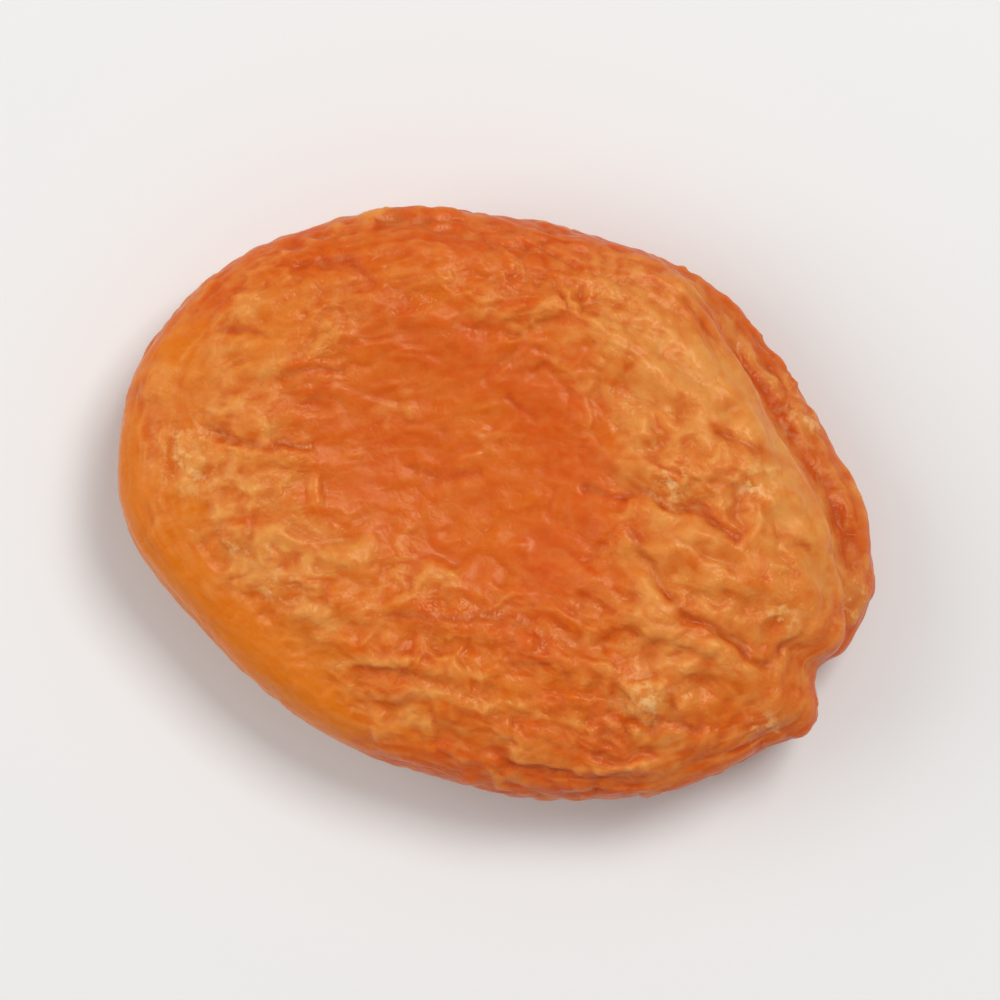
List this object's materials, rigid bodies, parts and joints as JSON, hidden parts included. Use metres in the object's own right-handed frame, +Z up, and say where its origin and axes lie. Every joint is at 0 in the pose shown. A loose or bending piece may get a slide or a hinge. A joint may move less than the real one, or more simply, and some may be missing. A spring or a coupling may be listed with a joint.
{
  "type": "dried apricot",
  "caption": "Whole pitted dried apricot, a flat oval fruit with wrinkled skin, a shallow hollow in its upper face and a seam round its edge, lying on a flat spot.",
  "frame": {"origin": "under the middle of the fruit, on the surface it lies on", "axes": "+X along the fruit, from the blossom end to the stem end; +Z up, through its thickness"},
  "size_m": [0.045, 0.0332, 0.0115],
  "materials": {
    "fruit": "satin"
  },
  "bodies": {
    "root": {"apricot": "fruit"}
  },
  "joints": []
}
